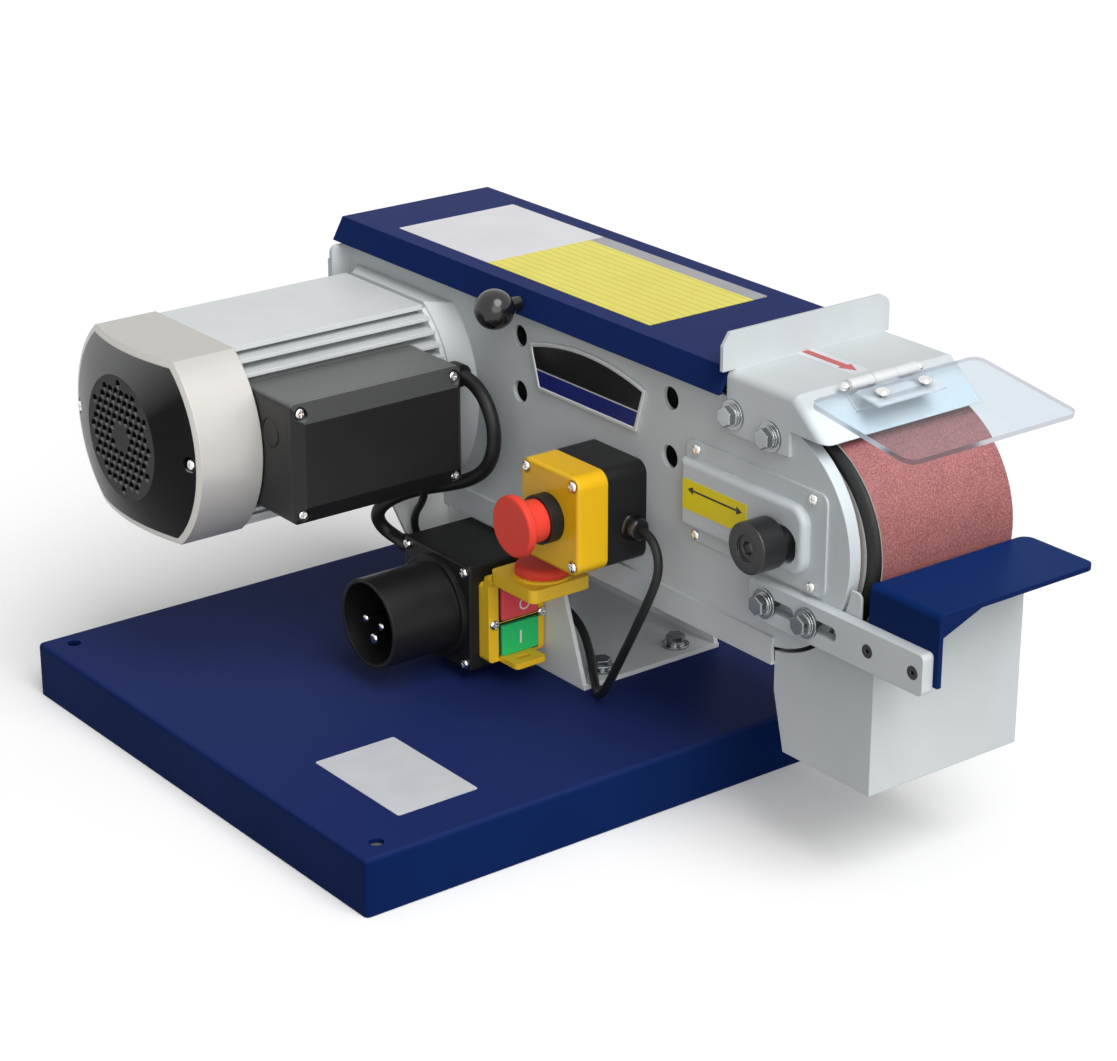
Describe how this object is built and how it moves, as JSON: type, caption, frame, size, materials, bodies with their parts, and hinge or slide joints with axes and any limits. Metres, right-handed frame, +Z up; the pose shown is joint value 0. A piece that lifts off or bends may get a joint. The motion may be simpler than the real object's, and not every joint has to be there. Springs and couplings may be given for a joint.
{
  "type": "bench belt sander",
  "caption": "Bench belt sander with a side-mounted finned motor, hinged top cover, rubber contact wheel, tool rest, clear shield, dust box and a flat base tray.",
  "frame": {"origin": "centre of the base tray's four mounting holes, on the bench", "axes": "+X towards the contact wheel, +Y away from the motor, +Z up"},
  "size_m": [0.58, 0.4, 0.3065],
  "materials": {
    "blue_paint": "gloss powder coat",
    "grey_paint": "light grey powder coat",
    "bare_aluminium": "cast and sprayed silver",
    "black_plastic": "moulded",
    "yellow_plastic": "moulded",
    "red_plastic": "moulded",
    "green_plastic": "moulded",
    "zinc_steel": "zinc plated",
    "black_steel": "black oxide",
    "rubber": "black",
    "abrasive": "red brown grit on cloth",
    "clear_plastic": "clear sheet",
    "brass": "plated pins"
  },
  "bodies": {
    "frame": {"base_tray": "blue_paint", "pedestal": "grey_paint", "lower_channel": "grey_paint", "near_side_plate": "grey_paint", "far_side_plate": "grey_paint", "front_guard": "grey_paint", "axle_cover": "grey_paint", "dust_box": "grey_paint", "motor_end_shields": "bare_aluminium", "stator_housing": "bare_aluminium", "fan_hood": "bare_aluminium", "fan_cap": "black_plastic", "terminal_box": "black_plastic", "terminal_lid": "black_plastic", "estop_base": "black_plastic", "estop_collar": "black_plastic", "switch_box": "black_plastic", "inlet_shroud": "black_plastic", "lead_glands": "black_plastic", "estop_cover": "yellow_plastic", "switch_frame": "yellow_plastic", "pedestal_bolts": "zinc_steel", "guard_bolts": "zinc_steel", "rest_bar_bolts": "zinc_steel", "pan_head_screws": "zinc_steel", "motor_bearings": "zinc_steel", "platen": "zinc_steel", "cover_hinge_bases": "zinc_steel", "cover_hinge_pins": "zinc_steel", "shield_pin": "zinc_steel", "guard_leaf": "zinc_steel", "motor_lead": "rubber", "thin_lead": "rubber", "estop_lead": "rubber", "abrasive_belt": "abrasive", "inlet_pins": "brass"},
    "drive": {"rotor": "zinc_steel", "fan": "black_plastic", "drive_wheel": "bare_aluminium", "drive_wheel_bolt": "zinc_steel"},
    "carriage": {"tension_block": "zinc_steel", "wheel_axle": "zinc_steel"},
    "contact_wheel": {"contact_hub": "bare_aluminium", "contact_tyre": "rubber", "contact_bearings": "zinc_steel"},
    "knob": {"tracking_knob": "black_steel"},
    "cover": {"top_cover": "blue_paint", "ball_handle": "black_plastic", "cover_hinge_leaves": "zinc_steel"},
    "shield": {"clear_shield": "clear_plastic", "shield_leaf": "zinc_steel", "shield_screws": "zinc_steel"},
    "rest": {"rest_bar": "grey_paint", "tool_rest": "blue_paint", "rest_screws": "black_steel"},
    "estop": {"estop_button": "red_plastic"},
    "start": {"start_button": "green_plastic"},
    "stop": {"stop_button": "red_plastic"},
    "flap": {"switch_flap": "yellow_plastic", "flap_mushroom": "red_plastic"}
  },
  "joints": [
    {"name": "drive_spin", "type": "hinge", "parent": "frame", "child": "drive", "pos_m": [-0.1, 0.0935, 0.1975], "axis": [0, 1, 0], "continuous": true},
    {"name": "tension_slide", "type": "slide", "parent": "frame", "child": "carriage", "axis": [1, 0, 0], "range_m": [-0.008, 0]},
    {"name": "contact_spin", "type": "hinge", "parent": "carriage", "child": "contact_wheel", "pos_m": [0.267, 0.0935, 0.1975], "axis": [0, 1, 0], "continuous": true},
    {"name": "knob_turn", "type": "hinge", "parent": "carriage", "child": "knob", "pos_m": [0.267, 0.014, 0.1975], "axis": [0, 1, 0], "range_deg": [-180, 180]},
    {"name": "cover_hinge", "type": "hinge", "parent": "frame", "child": "cover", "pos_m": [0.02, 0.1555, 0.266], "axis": [-1, 0, 0], "range_deg": [0, 100]},
    {"name": "shield_hinge", "type": "hinge", "parent": "frame", "child": "shield", "pos_m": [0.2835, 0.088, 0.285], "axis": [0, -1, 0], "range_deg": [0, 110]},
    {"name": "rest_slide", "type": "slide", "parent": "frame", "child": "rest", "axis": [1, 0, 0], "range_m": [-0.004, 0]},
    {"name": "estop_push", "type": "slide", "parent": "frame", "child": "estop", "axis": [0, 1, 0], "range_m": [0, 0.005], "stiffness_N_per_m": 1500},
    {"name": "start_push", "type": "slide", "parent": "frame", "child": "start", "axis": [-1, 0, 0], "range_m": [0, 0.002], "stiffness_N_per_m": 1500},
    {"name": "stop_push", "type": "slide", "parent": "frame", "child": "stop", "axis": [-1, 0, 0], "range_m": [0, 0.002], "stiffness_N_per_m": 1500},
    {"name": "flap_hinge", "type": "hinge", "parent": "frame", "child": "flap", "pos_m": [0.045, 0.01075, 0.1076], "axis": [0, 1, 0], "range_deg": [0, 85]}
  ],
  "couplings": [
    {"joint": "contact_spin", "follows": "drive_spin", "ratio": 1}
  ]
}
